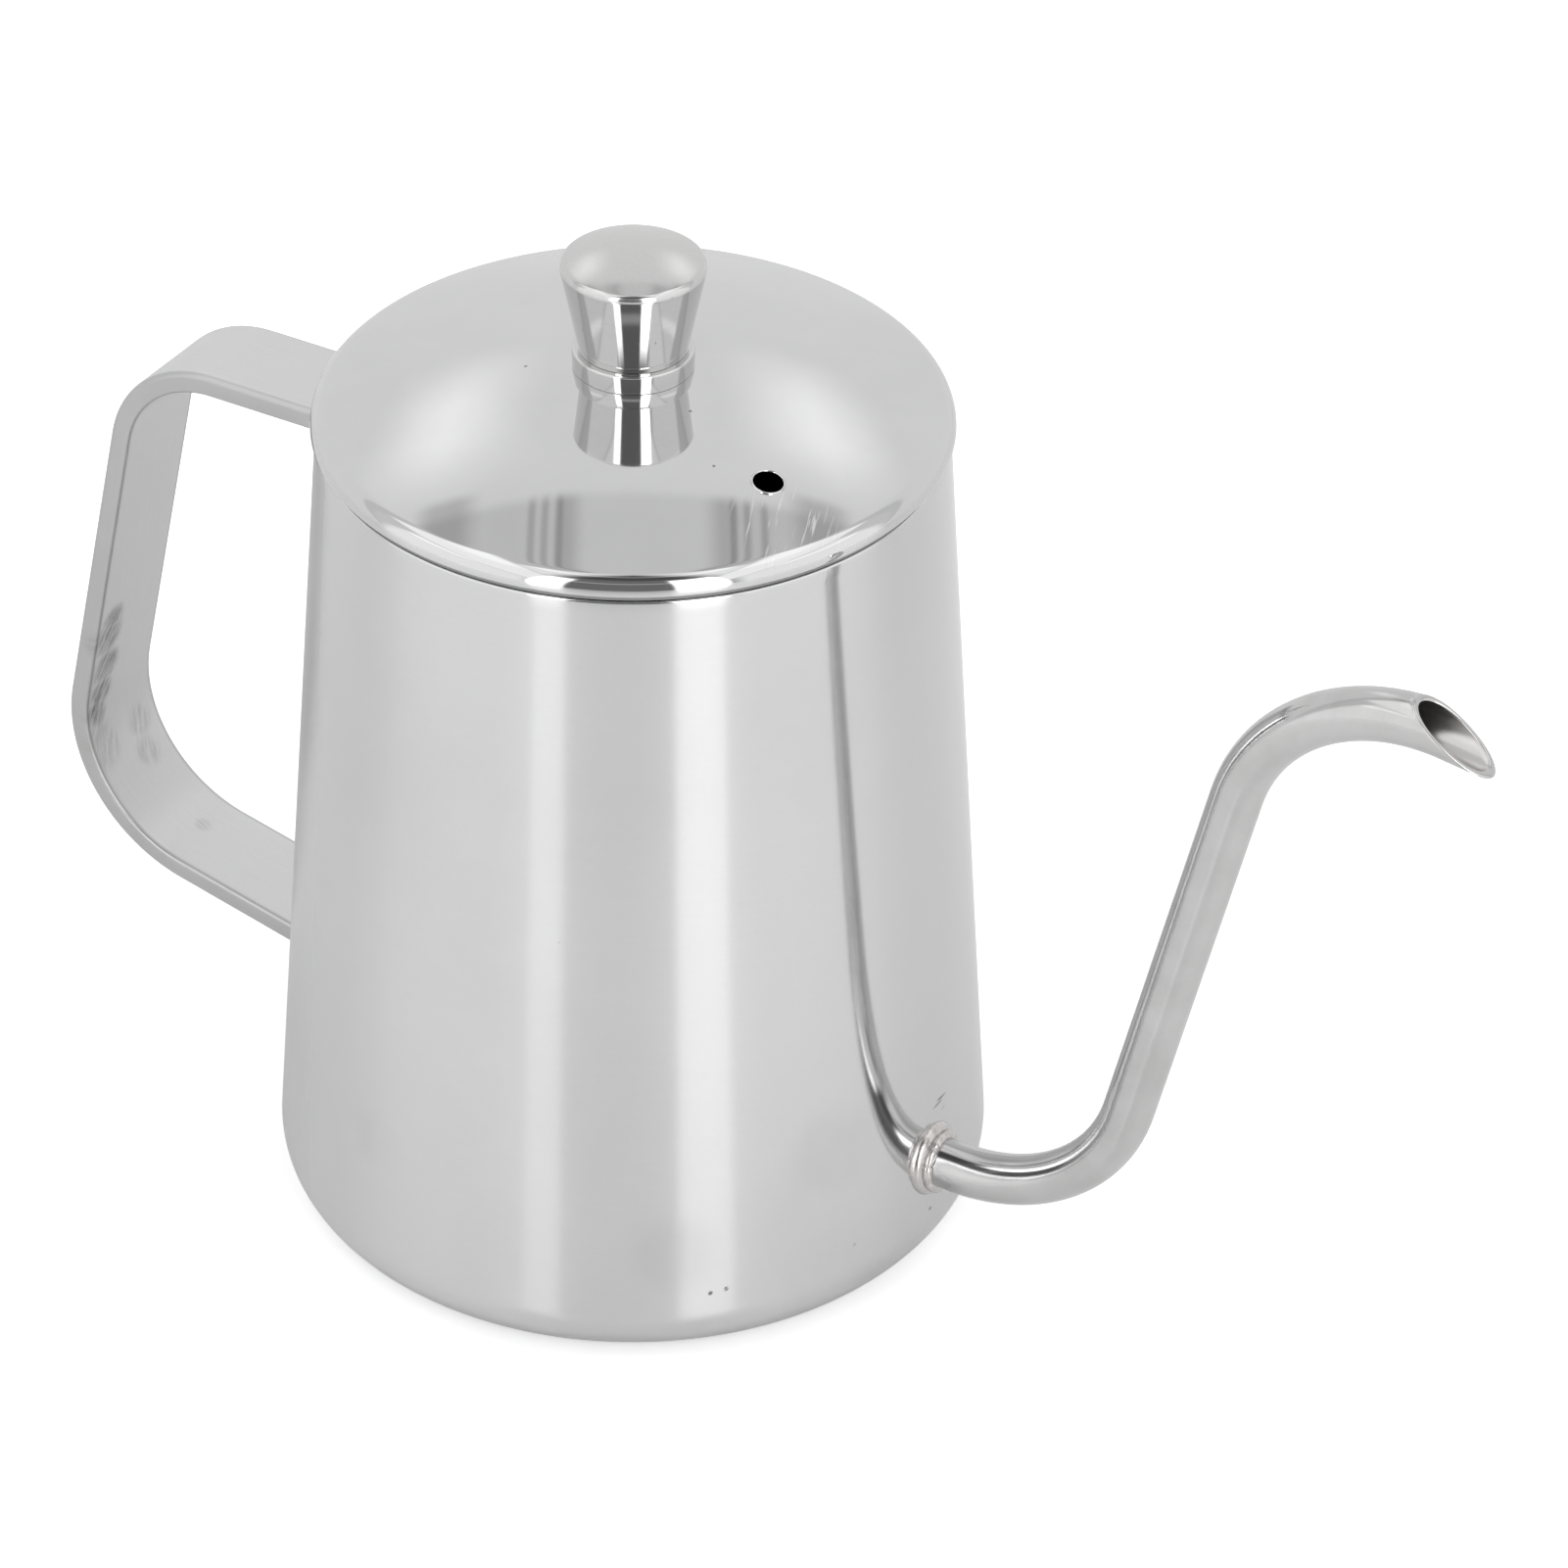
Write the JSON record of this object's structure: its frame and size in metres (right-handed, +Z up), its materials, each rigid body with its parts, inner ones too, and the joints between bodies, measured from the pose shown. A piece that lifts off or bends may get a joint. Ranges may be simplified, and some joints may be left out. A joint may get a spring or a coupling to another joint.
{
  "type": "gooseneck pour-over kettle",
  "caption": "Small stainless gooseneck kettle for pour-over coffee: conical pot, thin bent spout, flat strap handle and a domed lift-off lid with a turned knob",
  "frame": {"origin": "centre of the flat base, on the surface the kettle stands on", "axes": "+Z up along the pot axis, +X towards the spout, +Y to the left of the spout; the handle is at -X"},
  "size_m": [0.2121, 0.096, 0.1425],
  "materials": {
    "polished_steel": "near-mirror polish with fine circumferential lines",
    "tube_steel": "polished bent tube",
    "satin_steel": "satin strap with lengthways grain and bright rounded edges",
    "weld_steel": "rippled weld bead, left bright",
    "turned_steel": "lathe-turned and polished",
    "screw_steel": "plain fastener steel"
  },
  "bodies": {
    "kettle": {"pot_wall": "polished_steel", "pot_base": "polished_steel", "spout_tube": "tube_steel", "spout_weld": "weld_steel", "handle_strap": "satin_steel", "handle_weld_upper": "weld_steel", "handle_weld_lower": "weld_steel"},
    "lid_ring": {"lid_skirt": "polished_steel"},
    "lid": {"lid_dome": "polished_steel", "knob": "turned_steel", "knob_collar": "turned_steel", "knob_washer": "screw_steel", "knob_screw": "screw_steel"}
  },
  "joints": [
    {"name": "lid_lift", "type": "slide", "parent": "kettle", "child": "lid_ring", "axis": [0, 0, 1], "range_m": [0, 0.08]},
    {"name": "lid_turn", "type": "hinge", "parent": "lid_ring", "child": "lid", "pos_m": [0, 0, 0.118], "axis": [0, 0, 1], "continuous": true}
  ]
}
